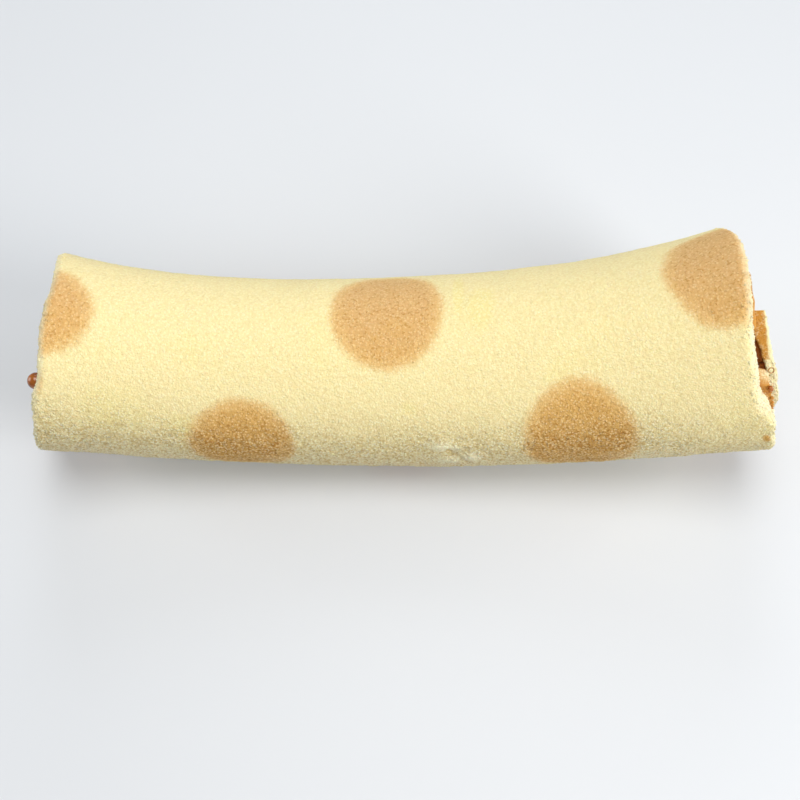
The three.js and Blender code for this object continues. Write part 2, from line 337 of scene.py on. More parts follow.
class Roll:
    """Where the sheet and the jam lie, by the same rules as the solid model."""

    def __init__(self, shape):
        self.half_length = shape.half_length
        self.middle = shape.middle_radius
        self.height = shape.middle_radius * shape.flattening
        self.growth = shape.radius_growth
        self.flares = (shape.left_flare, shape.right_flare)
        self.sag = shape.sag
        self.lift = shape.right_lift
        self.turns = shape.turns
        self.sheet = shape.sheet
        self.jam = shape.jam
        self.jam_space = shape.jam + 2 * CLEARANCE
        self.coil_y = COIL_SHIFT * math.cos(COIL_SHIFT_ANGLE)
        self.coil_z = COIL_SHIFT * math.sin(COIL_SHIFT_ANGLE)
        # Both stand at 0 while the sheet is measured for them.
        self.axis_height = 0.0
        self.shift = np.zeros(3)
        first = np.linspace(0, 1, STEPS_ROUND)
        lowest = (self.outer(first) * np.sin(self.angle(first))).min() + self.coil_z
        self.axis_height = -lowest - REST_DEPTH
        along = np.linspace(0, 1, STEPS_ALONG)
        skin = self.skin(*np.meshgrid(along, first, indexing="ij"))
        low, high = skin.min((0, 1)), skin.max((0, 1))
        frame_middle = (np.array(SPONGE_LOW) + np.array(SPONGE_HIGH)) / 2
        self.shift = np.append((frame_middle - (low + high) / 2)[:2], 0)
        outline = self.in_section(self.outer(first), self.angle(first))
        steps = np.hypot(*np.diff(outline, axis=0).T)
        self.girth_table = (first, np.append(0, np.cumsum(steps)))

    def radius(self, along):
        """middle + growth u + flare |u|^4, with u from -1 to 1 and a flare for each side."""
        left = self.flares[0] * np.maximum(0, -along) ** FLARE_POWER
        right = self.flares[1] * np.maximum(0, along) ** FLARE_POWER
        return self.middle + self.growth * along + left + right

    def hang(self, along):
        """The axis' height, sag |u|^p + lift u, and its slope, the angle of its rise."""
        away = np.abs(along)
        height = self.sag * away ** SAG_POWER + self.lift * along
        rise = self.sag * SAG_POWER * away ** (SAG_POWER - 1) * np.sign(along) + self.lift
        return height, np.arctan(rise / self.half_length)

    def angle(self, turns):
        """The seam's angle and a full circle for each turn."""
        return SEAM_ANGLE + FULL_TURN * turns

    def ellipse(self, angle):
        """From the coil's centre to the ellipse of the outline: the positive root r of
        |centre + r direction| = 1, both measured in the ellipse's half sizes."""
        y, z = np.cos(angle) / self.middle, np.sin(angle) / self.height
        cy, cz = self.coil_y / self.middle, self.coil_z / self.height
        a, b, c = y * y + z * z, y * cy + z * cz, cy * cy + cz * cz - 1
        return (-b + np.sqrt(b * b - a * c)) / a

    def flattened(self, distance, angle):
        """(distance^-n + underside^-n)^(-1/n): eased in to the flat underside."""
        down = np.maximum(-np.sin(angle), 1e-6)
        underside = (UNDERSIDE * self.height + self.coil_z) / down
        n = UNDERSIDE_SHARPNESS
        return np.where(
            np.sin(angle) < 0, (distance ** -n + underside ** -n) ** (-1 / n), distance)

    def thickness(self, turns):
        """The sheet's thickness, tapered to its edge at the seam."""
        return mix(SEAM_THICKNESS, self.sheet, ease(turns / SEAM_TAPER))

    def closing(self, turns):
        """How far the sheet closes in on the jam that the solid model keeps clear."""
        return CLOSED * ease(turns / CLOSED_OVER)

    def outer(self, turns):
        """From the coil's centre to the sheet's outer face: the outline less the tuck
        under the seam in the first turn, and then the last turn's inner face less the
        space of the jam."""
        turns = np.asarray(turns, float)
        tuck = (SEAM_THICKNESS + self.jam_space) * ease((turns - 1 + TUCK) / TUCK)
        angle = self.angle(turns)
        distance = self.flattened(self.ellipse(angle) - tuck, angle)
        further = turns > 1
        if further.any():
            distance[further] = self.inner(turns[further] - 1) - self.jam_space
        return distance

    def inner(self, turns):
        """The outer face less the sheet's thickness, but outside the eye."""
        return np.maximum(EYE, self.outer(turns) - self.thickness(turns))

    def lining(self, turns):
        """The inner face as it shows: closed in on the jam, and on the eye where it
        is the innermost."""
        closed = np.maximum(EYE, self.inner(turns) - self.closing(turns))
        return mix(closed, PINHOLE, ease((turns - self.turns + 1) / PINHOLE_OVER))

    def cut(self, cut, angle, radius):
        """ahead + reach (back cos + top sin) + the sum of reach^k (c cos k + s sin k)
        of the angle, where reach is the radius over the roll's middle radius."""
        reach = radius / self.middle
        total = cut["ahead"] + reach * (cut["back"] * np.cos(angle) + cut["top"] * np.sin(angle))
        for crests, (c, s) in enumerate(cut["waves"], start=2):
            wave = c * np.cos(crests * angle) + s * np.sin(crests * angle)
            total = total + reach ** crests * wave
        return total * MM

    def proud(self, turns):
        """1 where the second turn stands proud of the right cut, eased to 0 elsewhere."""
        angle = self.angle(turns) % FULL_TURN
        rise = ease((angle - PROUD_FROM) / PROUD_STEP)
        return rise * (1 - ease((angle - PROUD_FADE_FROM) / (PROUD_TO - PROUD_FADE_FROM)))

    def short(self, turns):
        """1 where the first turn falls short of the right cut, eased to 0 elsewhere."""
        angle = self.angle(turns) % FULL_TURN
        within = ease((angle - SHORT_FROM) / SHORT_EASE) * ease((SHORT_TO - angle) / SHORT_EASE)
        return np.where(turns <= 1, within, 0)

    def ends(self, turns, radius, proud_by):
        """Where the sheet or the jam ends at the left and the right, along the roll."""
        angle = self.angle(turns)
        left = -self.half_length + self.cut(LEFT_CUT, angle, radius)
        right = self.half_length + self.cut(RIGHT_CUT, angle, radius)
        return left, right + proud_by * self.proud(turns)

    def sheet_ends(self, turns, radius):
        """Where the sheet ends at the left and the right, along the roll, torn and
        with a jagged rim, sin 31 a + sin 47 a of its angle, both less so further in."""
        left, right = self.ends(turns, radius, np.where(turns > 1, PROUD, 0))
        angle = self.angle(turns) % FULL_TURN
        rim = np.clip((radius - self.inner(turns)) / self.thickness(turns), 0, 1)
        torn = [
            np.interp(angle, TORN_ANGLES, t) * mix(TORN_INSIDE, 1, rim)
            for t in (TORN_LEFT, TORN_RIGHT, TORN_SECOND)]
        jagged = JAGGED * rim * (np.sin(31 * angle) + np.sin(47 * angle + 2))
        left = left - np.where(turns <= 1, torn[0] + jagged, 0)
        right = right + np.where(turns <= 1, torn[1], np.where(turns < 2, torn[2], 0)) + jagged
        return left, right - SHORT * self.short(turns)

    def in_section(self, radius, angle):
        """The point of the section at a radius and an angle round the coil's centre."""
        return np.stack([
            radius * np.cos(angle) + self.coil_y, radius * np.sin(angle) + self.coil_z], -1)

    def at(self, distance, angle, radius):
        """The point at a distance along the roll, and at an angle and a radius of the
        section, which is scaled to the roll there and stands square to its axis."""
        along = distance / self.half_length
        height, slope = self.hang(along)
        section = self.in_section(radius, angle) * (self.radius(along) / self.middle)[..., None]
        up = section[..., 1]
        return self.shift + np.stack([
            distance - up * np.sin(slope), section[..., 0],
            self.axis_height + height + up * np.cos(slope)], -1)

    def edge(self, turns):
        """The radius of the skin's rounded edge at a cut, half as large low in front,
        less at the thin seam and none where the sheet is tucked in."""
        tucked = ease((turns - 1 + TUCK) / TUCK)
        low = np.exp(-((self.angle(turns) % FULL_TURN - LOW_EDGE) / LOW_EDGE_WIDTH) ** 2)
        full = EDGE_ROUND * (1 - 0.5 * low)
        return np.minimum(full, self.thickness(turns) / 2) * (1 - tucked)

    def skin(self, fraction, turns):
        """The outer face at a fraction of the way from cut to cut. Within an edge
        radius r of a cut, at t from it, it is drawn in by r - sqrt(r^2 - (r - t)^2)."""
        flush = self.outer(turns)
        left, right = self.sheet_ends(turns, flush)
        distance = mix(left, right, fraction)
        edge = self.edge(turns)
        short = np.maximum(0, edge - np.minimum(distance - left, right - distance))
        drawn_in = edge - np.sqrt(np.maximum(0, edge ** 2 - short ** 2))
        radius = flush - drawn_in + np.where(turns > 1, self.closing(turns - 1), 0)
        return self.at(distance, self.angle(turns), radius)

    def girth(self, turns):
        """The length of the outline from the seam to here, in the roll's middle."""
        return np.interp(turns, *self.girth_table)

    def spot_depth(self, distance, turns, points):
        """How deep a place lies inside the nearest spot, below 0 outside: the least
        half size times (1 - its elliptic distance), with an uneven edge."""
        depth = np.full(np.shape(distance), -1.0)
        scale = self.radius(distance / self.half_length) / self.middle
        girth = self.girth(turns)
        for middle, girth_at, half_length, half_girth in SPOTS:
            along = (distance - middle * MM) / (half_length * MM)
            around = (girth - girth_at * MM) * scale / (half_girth * MM)
            reach = min(half_length, half_girth) * MM
            depth = np.maximum(depth, reach * (1 - np.hypot(along, around)))
        return depth + layered(points, *SPOT_EDGE)


class Patchwork:
    """Faces gathered patch by patch. Patches that meet have the same points along
    their border, and are joined there when the mesh is made."""

    def __init__(self):
        self.points, self.values, self.faces, self.maps = [], [], [], []
        self.count = 0

    def add(self, points, faces, places, values):
        """points (n, 3), faces (m, 4) with a last index of -1 in a triangle, their
        places (n, 2) on the map, and a value or an array for each named value."""
        self.points.append(points)
        self.faces.append(np.where(faces < 0, -1, faces + self.count))
        self.maps.append(places)
        size = len(points)
        self.values.append({k: np.broadcast_to(v, size) for k, v in values.items()})
        self.count += size

    def grid(self, points, places, flip=False, **values):
        """A patch of four-sided faces on a grid of points (n, m, 3), which face
        towards the cross product of the first and the second way along it, with
        their places (n, m, 2) on the map, or one place for all."""
        n, m = points.shape[:2]
        index = np.arange(n * m).reshape(n, m)
        faces = np.stack([index[:-1, :-1], index[1:, :-1], index[1:, 1:], index[:-1, 1:]], -1)
        faces = faces.reshape(-1, 4)
        if flip:
            faces = faces[:, ::-1]
        flat = {k: np.broadcast_to(v, (n, m)).ravel() for k, v in values.items()}
        places = np.broadcast_to(places, (n, m, 2)).reshape(-1, 2)
        self.add(points.reshape(-1, 3), faces, places, flat)

    def strip(self, first, first_at, second, second_at, place, flip=False, **values):
        """A strip of triangles between two rows of points whose steps differ, which
        faces towards the cross product of the way along the rows and the way from the
        first to the second. Each step of a row goes to the point of the other row next
        to its middle."""
        n, m = len(first), len(second)
        first_mid = (first_at[1:] + first_at[:-1]) / 2
        second_mid = (second_at[1:] + second_at[:-1]) / 2
        steps, others = np.arange(n - 1), np.arange(m - 1)
        to_second = n + np.searchsorted(second_mid, first_mid, side="left")
        to_first = np.searchsorted(first_mid, second_mid, side="right")
        faces = np.concatenate([
            np.stack([steps, steps + 1, to_second], -1),
            np.stack([n + others + 1, n + others, to_first], -1)])
        if flip:
            faces = faces[:, ::-1]
        faces = np.concatenate([faces, np.full((len(faces), 1), -1)], 1)
        self.add(np.concatenate([first, second]), faces, np.tile(place, (n + m, 1)), values)

    def welded(self):
        """The joined points, the faces, each face corner's place on the map, and the
        values, where the first patch counts at a joint."""
        points = np.concatenate(self.points)
        keys = np.round(points / 1e-6).astype(np.int64)
        _, first, same = np.unique(keys, axis=0, return_index=True, return_inverse=True)
        same = same.reshape(-1)
        faces = np.concatenate(self.faces)
        corners = np.where(faces < 0, -1, same[faces])
        values = {}
        for name in self.values[0]:
            values[name] = np.concatenate([v[name] for v in self.values])[first].astype(float)
        return points[first], corners, np.concatenate(self.maps)[faces], values


def loops_of(corners):
    """The corners of faces, some of which have one corner less or two corners alike,
    as a flat list with each face's start, and which of the corners are kept."""
    keep = corners >= 0
    keep &= corners != np.roll(corners, 1, axis=1)
    keep[:, 0] |= (corners[:, 3] < 0) & (corners[:, 0] >= 0)
    sizes = keep.sum(1)
    keep[sizes < 3] = False
    sizes = sizes[sizes >= 3]
    return corners[keep], np.append(0, np.cumsum(sizes)[:-1]), keep


def normals_of(points, corners):
    """Unit normals of the points: the sum of the cross products of the diagonals of
    the faces round each, or of two sides of a triangle."""
    fourth = np.where(corners[:, 3] < 0, corners[:, 0], corners[:, 3])
    a, b, c, d = points[corners[:, 0]], points[corners[:, 1]], points[corners[:, 2]], points[fourth]
    across = np.cross(c - a, d - b)
    total = np.zeros_like(points)
    for column in range(4):
        used = corners[:, column] >= 0
        np.add.at(total, corners[used, column], across[used])
    return total / np.maximum(np.linalg.norm(total, axis=1, keepdims=True), 1e-12)


def make_piece(name, points, corners, places, values, material, slot, *nodes):
    """A smooth mesh object with a map, its values as attributes, and its place in
    the frame."""
    loops, starts, keep = loops_of(corners)
    mesh = bpy.data.meshes.new(name)
    mesh.vertices.add(len(points))
    mesh.vertices.foreach_set("co", points.astype(np.float32).ravel())
    mesh.loops.add(len(loops))
    mesh.loops.foreach_set("vertex_index", loops.astype(np.int32))
    mesh.polygons.add(len(starts))
    mesh.polygons.foreach_set("loop_start", starts.astype(np.int32))
    mesh.polygons.foreach_set("use_smooth", np.ones(len(starts), bool))
    mesh.update(calc_edges=True)
    layer = mesh.uv_layers.new(name="OFBake")
    layer.uv.foreach_set("vector", places[keep].astype(np.float32).ravel())
    for key, numbers in values.items():
        attribute = mesh.attributes.new(key, "FLOAT", "POINT")
        attribute.data.foreach_set("value", numbers.astype(np.float32))
    if mesh.validate():
        raise RuntimeError(f"{name} has faces that aren't valid")
    mesh.materials.append(material)
    piece = bpy.data.objects.new(name, mesh)
    bpy.context.scene.collection.objects.link(piece)
    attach(piece, "root")
    if nodes:
        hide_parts(*nodes)
    return piece


def math_method(operation, swapped=False):
    """A method that adds the Math node of an operation on a value and another one."""
    def method(self, other):
        node = self.tree.nodes.new("ShaderNodeMath")
        node.operation = operation
        for socket, value in zip(node.inputs, (other, self) if swapped else (self, other)):
            if isinstance(value, Value):
                self.tree.links.new(value.socket, socket)
            else:
                socket.default_value = value
        return Value(self.tree, node.outputs[0])
    return method


class Value:
    """A socket in Python arithmetic: each operation adds its Math node."""

    def __init__(self, tree, socket):
        self.tree, self.socket = tree, socket

    __add__ = __radd__ = math_method("ADD")
    __mul__ = __rmul__ = math_method("MULTIPLY")
    __sub__ = math_method("SUBTRACT")
    __rsub__ = math_method("SUBTRACT", swapped=True)
    at_most = math_method("MINIMUM")
    at_least = math_method("MAXIMUM")


# The numbers of a Mix node's sockets for colours, which share their names with others.
MIX_FACTOR, MIX_FIRST, MIX_SECOND, MIX_RESULT = 0, 6, 7, 2


class Finish:
    """A material and the nodes that it is made of."""

    def __init__(self, name):
        self.material = bpy.data.materials.new(name)
        self.material.use_nodes = True
        self.tree = self.material.node_tree
        self.shader = self.tree.nodes["Principled BSDF"]
        self.coordinates = self.node("ShaderNodeTexCoord", output="Object")

    def node(self, kind, settings=None, inputs=None, output=0):
        """One node: its settings first, then the values or links of its sockets."""
        node = self.tree.nodes.new(kind)
        for key, value in (settings or {}).items():
            setattr(node, key, value)
        for key, value in (inputs or {}).items():
            self.feed(node.inputs[key], value)
        return Value(self.tree, node.outputs[output])

    def feed(self, socket, value):
        if isinstance(value, Value):
            self.tree.links.new(value.socket, socket)
        elif socket.type == "RGBA" and len(value) == 3:
            socket.default_value = (*value, 1)
        else:
            socket.default_value = value

    def set(self, **inputs):
        """Sockets of the shader, with _ for a blank in a name."""
        for key, value in inputs.items():
            self.feed(self.shader.inputs[key.replace("_", " ")], value)

    def attribute(self, name):
        return self.node("ShaderNodeAttribute", {"attribute_name": name}, output="Fac")

    def noise(self, size, detail=2.0, roughness=0.5):
        """Noise from 0 to 1 whose features have about that size."""
        return self.node("ShaderNodeTexNoise", inputs={
            "Vector": self.coordinates, "Scale": 1 / size, "Detail": detail,
            "Roughness": roughness})

    def cells(self, size):
        """The distance to the nearest of scattered points that size apart, over it."""
        return self.node("ShaderNodeTexVoronoi", inputs={
            "Vector": self.coordinates, "Scale": 1 / size, "Randomness": 1.0}, output="Distance")

    def ramp(self, value, low, high):
        """0 up to low and 1 from high on, eased in between."""
        return self.node("ShaderNodeMapRange", {"interpolation_type": "SMOOTHSTEP"}, {
            "Value": value, "From Min": low, "From Max": high})

    def blend(self, factor, first, second):
        """A colour mixed from two."""
        inputs = {MIX_FACTOR: factor, MIX_FIRST: first, MIX_SECOND: second}
        return self.node("ShaderNodeMix", {"data_type": "RGBA"}, inputs, MIX_RESULT)

    def bump(self, height, depth, under=None):
        """The normal of a height from 0 to 1 that stands for that depth."""
        inputs = {"Height": height, "Distance": depth, "Strength": 1.0}
        if under is not None:
            inputs["Normal"] = under
        return self.node("ShaderNodeBump", inputs=inputs)


def sponge_finish(look):
    """Pale skin with soft-edged tan spots, made of fine granules that stand out more
    where it is frayed, down the roll's sides, an open crumb on the cuts, and caramel
    where jam has soaked in. Light and shade are painted in too: down the sides the dark
    gaps and pores are stronger as painted shade and the light specks as painted grazing
    light, spots that face the front are painted warmer as if lit warmer, the underside
    is partly pale fuzz and partly painted light from below, the crease is painted darker
    as shade, the lumps lighter as a painted highlight, and one stain is a painted shadow.
    It reads the attributes spot, the depth inside a spot, cut, jammy, stain,
    wet, deep and crack, from 0 to 1, steep, from 0 on top to 2 underneath, lean,
    from -1 at the back to 1 at the front, and tone, from -1 to 1."""
    f = Finish("sponge crumb")
    spot, cut, jammy, stain, wet, deep, crack, steep, lean, tone = map(f.attribute, (
        "spot", "cut", "jammy", "stain", "wet", "deep", "crack", "steep", "lean", "tone"))
    felt = f.noise(0.42 * MM, roughness=0.6) - 0.5
    clump = f.noise(1.6 * MM, roughness=0.55) - 0.5
    blotch = f.noise(5.5 * MM) - 0.5
    # 0 on top, 1 down the sides and underneath: there the skin is frayed, and its colour also gets
    # painted shade and painted grazing light.
    down_the_sides = f.ramp(steep + blotch * 0.3, 0.25, 0.85)
    granule = f.cells(0.74 * MM)
    pores = f.ramp(f.noise(0.80 * MM) + 0.06 * down_the_sides, 0.54, 0.67)
    large_pores = 1 - f.ramp(f.cells(2.3 * MM), 0.10, 0.24)
    gap = f.ramp(granule - felt * 0.9, 0.42, 0.72)
    top = 1 - f.ramp(granule + felt * 0.6, 0.12, 0.48)
    # Light specks: granule tops, the grains' and crumbs' random tone, and the lumps' painted
    # highlight.
    light = (top + tone).at_most(1.0).at_least(0.0)

    patch = f.ramp(f.noise(26 * MM) + deep * 0.5, 0.50, 0.80)
    yellow = f.blend(patch, look.sponge, look.sponge_deep)
    # Partly pale fuzz, partly painted light from below: the underside paler and bluer.
    yellow = f.blend(f.ramp(steep + clump * 0.6, 0.65, 1.15) * 0.6, yellow, look.fuzz_and_reflected_light)
    # Painted shade and painted grazing light: the gaps and pores darker and the specks lighter, the
    # more down the sides.
    yellow = f.blend(gap * (0.14 + 0.20 * down_the_sides), yellow, look.sponge_pore_and_shade)
    yellow = f.blend(pores * (0.20 + 0.70 * down_the_sides), yellow, look.sponge_pore_and_shade)
    yellow = f.blend(light * (0.30 + 0.60 * down_the_sides), yellow, look.sponge_speck_and_highlight)

    inside = f.ramp(spot + felt * (2.4 * MM) + clump * (1.6 * MM), -1.9 * MM, 1.7 * MM)
    # Painted light: spots that face the front are painted warmer and more orange, as if lit warmer.
    low = f.ramp(lean + blotch * 0.9, -0.35, 0.75)
    rim = 1 - f.ramp(spot + clump * (3 * MM), 0.5 * MM, 4.5 * MM)
    tan = f.blend(rim * 0.55, f.blend(low, look.spot, look.spot_front_lit), look.spot_rim)
    # Painted shade and painted grazing light in the spots, the more down the sides.
    tan = f.blend(gap * (0.10 + 0.30 * down_the_sides) * inside, tan, look.spot_pore_and_shade)
    tan = f.blend(pores * (0.60 + 0.35 * down_the_sides) * (1 - 0.4 * rim), tan, look.spot_pore_and_shade)
    tan = f.blend(light * (0.45 + 0.50 * down_the_sides), tan, look.spot_speck_and_highlight)

    skin = f.blend(inside, yellow, tan)
    # Jam stains, and one painted shadow on the right rim.
    skin = f.blend(f.ramp(stain + clump * 0.5, 0.15, 0.75), skin, look.stain)
    # Painted shade: the crease darker along its groove.
    skin = f.blend(f.ramp(crack + felt * 0.4, 0.2, 0.9) * 0.35, skin, look.sponge_pore_and_shade)
    holes = (large_pores * 0.5 + pores * 0.4).at_most(1.0)
    open_crumb = f.blend(holes * 0.40, look.crumb, look.sponge_pore_and_shade)
    finished = f.blend(f.ramp(cut + clump * 0.4, 0.05, 0.95), skin, open_crumb)
    soaked = f.ramp(jammy + clump * 0.8, 0.25, 0.75)
    caramel = f.blend(f.ramp(clump + felt, -0.05, 0.25) * 0.35, look.caramel, look.crumb)
    finished = f.blend(soaked, finished, caramel)
    dark = tuple(mix(np.array(look.jam_deep), np.array(look.jam), 0.5))
    finished = f.blend(f.ramp(wet + clump * 0.5, 0.2, 0.8), finished, dark)

    rough = 0.9 + 0.4 * inside + 1.5 * down_the_sides + 0.1 * cut
    fine = f.bump((top - 0.2) * rough, 0.10 * MM)
    pitted = f.bump(felt * rough - large_pores * (cut * 0.3), 0.40 * MM, fine)
    f.set(
        Base_Color=finished, Roughness=0.88 - 0.25 * soaked,
        Normal=f.bump(clump * rough, 0.36 * MM, pitted),
        Subsurface_Weight=0.18, Subsurface_Radius=(2.2 * MM, 1.5 * MM, 0.7 * MM),
        Subsurface_Scale=1.0, Specular_IOR_Level=0.25)
    return f.material


def jam_finish(look):
    """Wet amber jam, darker where it is thick, with a soft gloss. It reads the
    attributes soaked and bare, where its edge is crumb instead, from 0 to 1."""
    f = Finish("amber jam")
    soaked, bare = f.attribute("soaked"), f.attribute("bare")
    crumb = f.noise(0.5 * MM)
    thick = f.ramp(f.noise(3.5 * MM), 0.38, 0.62)
    finished = f.blend(thick, look.jam, look.jam_deep)
    for amount, tint in ((soaked, look.caramel), (bare, look.crumb)):
        finished = f.blend(f.ramp(amount + (crumb - 0.5) * 0.5, 0.2, 0.8), finished, tint)
    dry = (soaked + bare).at_most(1.0)
    dimpled = f.bump(f.noise(1.4 * MM, detail=1), 0.10 * MM)
    f.set(
        Base_Color=finished, Roughness=0.16 + 0.12 * f.noise(2.2 * MM) + 0.4 * dry,
        Normal=f.bump(crumb * dry, 0.25 * MM, dimpled),
        Subsurface_Weight=0.12, Subsurface_Radius=(2 * MM, 1 * MM, 0.4 * MM),
        Subsurface_Scale=1.0, Coat_Weight=0.25 * (1 - dry), Coat_Roughness=0.1)
    return f.material


def on_map(corner, size, along, up):
    """Places on a map: the corner + the size times shares along and up."""
    places = corner[0] + size[0] * along, corner[1] + size[1] * up
    return np.stack(np.broadcast_arrays(*places), -1)


# Steps of the sponge's mesh round and along it, closer at the step and in front of the
# proud turn, and near the cuts, where the faces between the turns come out, and the
# roll's length that they are spaced for.
SKIN_STEPS = 250
COIL_STEPS = 105
SKIN_STATIONS = 232
EDGE_STATIONS = 5
SHEET_STEPS = 18
HIDDEN_STEPS = 60
HIDDEN_STATIONS = 14
STEP_ANGLES = PROUD_FROM + np.linspace(-0.5, 1.5, 9) * PROUD_STEP
FRONT_ANGLES = np.radians(np.arange(96, 190, 1.6))
NEAR_LEFT = np.array((0, 0.5, 1.1, 1.8, 2.6, 3.6, 5, 8)) * MM
NEAR_RIGHT = np.append(np.arange(0, 4.5, 0.32), (5, 6, 8)) * MM
SPACED_FOR = 198 * MM

# Where the sponge's patches lie on its map, as corners and sizes. The skin takes its
# lower part, and the rest stands in a row above it. A section's width fills a cut's.
MAP_SKIN = (1, 0.80)
MAP_CUTS = ((0, 0.805), (0.2, 0.805))
MAP_CUT = 0.19
SECTION_WIDTH = 66 * MM
MAP_COIL, MAP_INNER, MAP_TURN = (0.42, 0.82), (0.66, 0.82), (0.2, 0.06)
MAP_SEAM, MAP_SEAM_SIZE = (0.42, 0.985), (0.57, 0.01)
MAP_TIP, MAP_TIP_SIZE = (0.9, 0.9), (0.05, 0.05)
MAP_BANDS = (0.9, 0.82)

# How far the skin is worn to its crumb on the edges at the left and the right cut, how
# deep jam soaks into the cuts, over what length the crevice comes in, and how far in
# from the right cut the proud turn's face shows.
WORN = (0.65, 0.60)
SOAK_DEPTH = 1.6 * MM
CREVICE_EASE = 0.5 * MM
SHOWN_DEPTH = 6 * MM

# The values of faces that lie hidden between the turns.
HIDDEN = {"distance": 0, "cut": 0, "soaked": 1, "wet": 0, "shown": 0}


def stations():
    """Fractions of the way from cut to cut, closer over the rounded edges, where they
    stand at even angles: r (1 - cos a) from a cut."""
    around = np.linspace(0, math.pi / 2, EDGE_STATIONS + 1)[:-1]
    near = EDGE_ROUND * (1 - np.cos(around)) / SPACED_FOR
    edge = EDGE_ROUND / SPACED_FOR
    return np.concatenate([near, np.linspace(edge, 1 - edge, SKIN_STATIONS), 1 - near[::-1]])


def hidden_stations():
    """Few fractions for the faces between the turns, closer where they come out."""
    left, right = NEAR_LEFT / SPACED_FOR, NEAR_RIGHT / SPACED_FOR
    middle = np.linspace(left[-1], 1 - left[-1], HIDDEN_STATIONS)[1:-1]
    return np.concatenate([left, middle, 1 - right[::-1]])


def shortfall(roll, turns, fraction):
    """How far a place lies into the rounded edge at either cut, over the edge's
    radius: from 0 to 1 at the left cut, and then at the right one."""
    edge = np.maximum(roll.edge(turns), 1e-9)
    left, right = roll.sheet_ends(turns, roll.outer(turns))
    distance = mix(left, right, fraction)
    return [np.clip(1 - gap / edge, 0, 1) for gap in (distance - left, right - distance)]


def through(roll, turns, fraction, rounded):
    """Points through the sheet, from its outer to its inner face: mixed in their
    distance along the roll and in their radius. The outer face is drawn in by the
    edge's radius times rounded."""
    depths = np.linspace(0, 1, SHEET_STEPS + 1)
    flush = roll.outer(turns)
    outer_end = mix(*roll.sheet_ends(turns, flush), fraction)[..., None]
    inner_end = mix(*roll.sheet_ends(turns, roll.inner(turns)), fraction)[..., None]
    grown = np.where(turns > 1, roll.closing(turns - 1), 0)
    radius = (flush - roll.edge(turns) * rounded + grown)[..., None]
    return roll.at(
        mix(outer_end, inner_end, depths), roll.angle(turns)[..., None],
        mix(radius, roll.lining(turns)[..., None], depths))


def bared(angle, to_end):
    """How much the proud turn's face is bare crumb, from 0 to 1."""
    grown = ease((angle - BARE_FROM) / (BARE_TO - BARE_FROM))
    edge = np.clip(0.5 + (mix(*BARE_WIDTHS, grown) - to_end) / MM, 0, 1)
    return np.maximum(edge, ease(grown * 8 - 7) * ease(2 - to_end / (4 * MM)))


